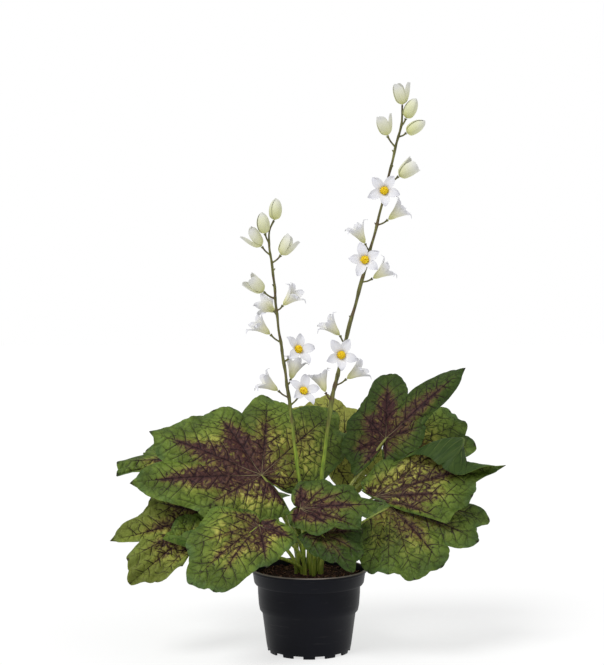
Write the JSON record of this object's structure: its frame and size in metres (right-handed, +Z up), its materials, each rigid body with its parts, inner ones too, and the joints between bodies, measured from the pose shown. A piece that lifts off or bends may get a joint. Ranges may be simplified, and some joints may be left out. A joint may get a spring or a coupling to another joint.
{
  "type": "potted heuchera plant",
  "caption": "Potted foliage perennial with broad lobed green leaves veined in burgundy and upright spikes of white star flowers, in a black nursery pot.",
  "frame": {"origin": "on the pot's axis, at the surface that the pot's foot stands on", "axes": "+Z up along the pot's axis, the plant's longest extent; -Y towards the side that the picture shows; +X to the right in the picture"},
  "size_m": [0.4069, 0.2348, 0.5883],
  "materials": {
    "pot": "satin black moulded plastic",
    "soil": "dark peat compost, fully matte",
    "leaf": "leaf, yellow-green with burgundy veins, soft satin",
    "stem": "green stem, browner towards its top",
    "petal": "white petals, soft and matte",
    "bud": "cream-green buds, soft and matte",
    "stamen": "golden yellow stamens, matte"
  },
  "bodies": {
    "root": {"pot": "pot", "soil": "soil", "leaf_left_large": "leaf", "leaf_left_far": "leaf", "leaf_left_low": "leaf", "leaf_left_folded": "leaf", "leaf_front_left": "leaf", "leaf_front_middle": "leaf", "leaf_front_low": "leaf", "leaf_right_upper": "leaf", "leaf_right_back": "leaf", "leaf_right_middle": "leaf", "leaf_right_low": "leaf", "leaf_back_middle": "leaf", "leaf_back_left": "leaf", "leaf_back_right": "leaf", "leaf_back_low": "leaf", "stem_left": "stem", "stem_right": "stem", "bloom_left_01": "bud", "bloom_left_02": "bud", "bloom_left_03": "bud", "bloom_left_04": "bud", "bloom_left_05": "bud", "bloom_left_06": "petal", "bloom_left_07": "petal", "bloom_left_08": "petal", "bloom_left_09": "petal", "bloom_left_10": "petal", "bloom_left_11": "petal", "bloom_left_12": "petal", "bloom_right_01": "bud", "bloom_right_02": "bud", "bloom_right_03": "bud", "bloom_right_04": "bud", "bloom_right_05": "bud", "bloom_right_06": "petal", "bloom_right_07": "petal", "bloom_right_08": "petal", "bloom_right_09": "petal", "bloom_right_10": "petal", "bloom_right_11": "petal", "bloom_right_12": "petal", "bloom_right_13": "petal", "bloom_right_14": "petal", "stamens_left_09": "stamen", "stamens_left_12": "stamen", "stamens_right_06": "stamen", "stamens_right_09": "stamen", "stamens_right_12": "stamen"}
  },
  "joints": []
}
